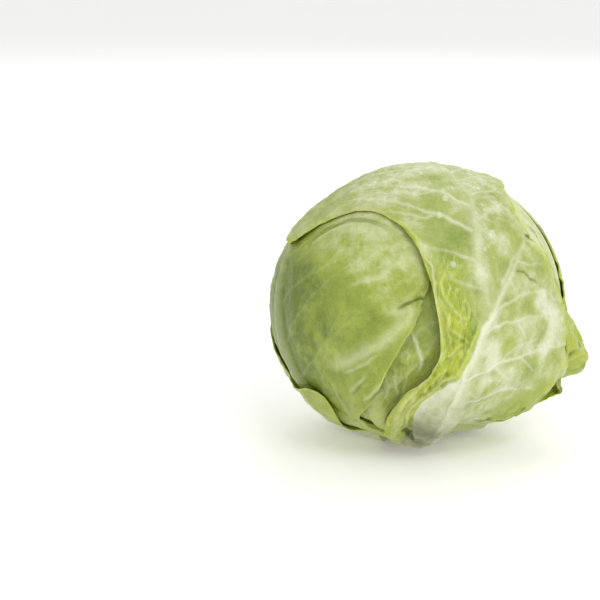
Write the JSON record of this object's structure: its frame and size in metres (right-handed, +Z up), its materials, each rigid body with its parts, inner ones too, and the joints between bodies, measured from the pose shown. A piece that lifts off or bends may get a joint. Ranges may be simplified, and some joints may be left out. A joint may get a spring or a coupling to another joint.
{
  "type": "round head cabbage",
  "caption": "Round green cabbage head leaning on its base, with overlapping veined wrapper leaves, thick midribs, a flared leaf edge and a cut stem.",
  "frame": {"origin": "on the surface the head rests on, under the middle of its bounding box", "axes": "+Z up, -Y towards the side with the thick white midrib, +X to the right of it, where one leaf edge flares out"},
  "size_m": [0.1828, 0.1818, 0.162],
  "materials": {
    "stem_flesh": "matt cut vegetable flesh, slightly dried",
    "heart_leaf": "satin leaf, pale yellow-green",
    "leaf_mid_green": "satin waxy leaf, mid green with paler veins",
    "leaf_cream": "satin waxy leaf, cream-green with green blotches",
    "leaf_soft_green": "satin waxy leaf, soft green",
    "leaf_left_green": "satin waxy leaf, fresh green, paler towards its veins",
    "leaf_yellow_green": "satin waxy leaf, yellow-green at the margin",
    "leaf_pale": "satin waxy leaf, pale green with a white midrib and a few water drops",
    "leaf_deep_green": "satin waxy leaf, deep green",
    "leaf_back_green": "satin waxy leaf, light green"
  },
  "bodies": {
    "root": {"cut_stem": "stem_flesh", "inner_head": "heart_leaf", "leaf_front_inner": "leaf_mid_green", "leaf_right_inner": "leaf_cream", "leaf_back_inner": "leaf_soft_green", "leaf_left": "leaf_left_green", "leaf_right_outer": "leaf_yellow_green", "leaf_front": "leaf_pale", "leaf_left_outer": "leaf_deep_green", "leaf_back": "leaf_back_green"}
  },
  "joints": []
}
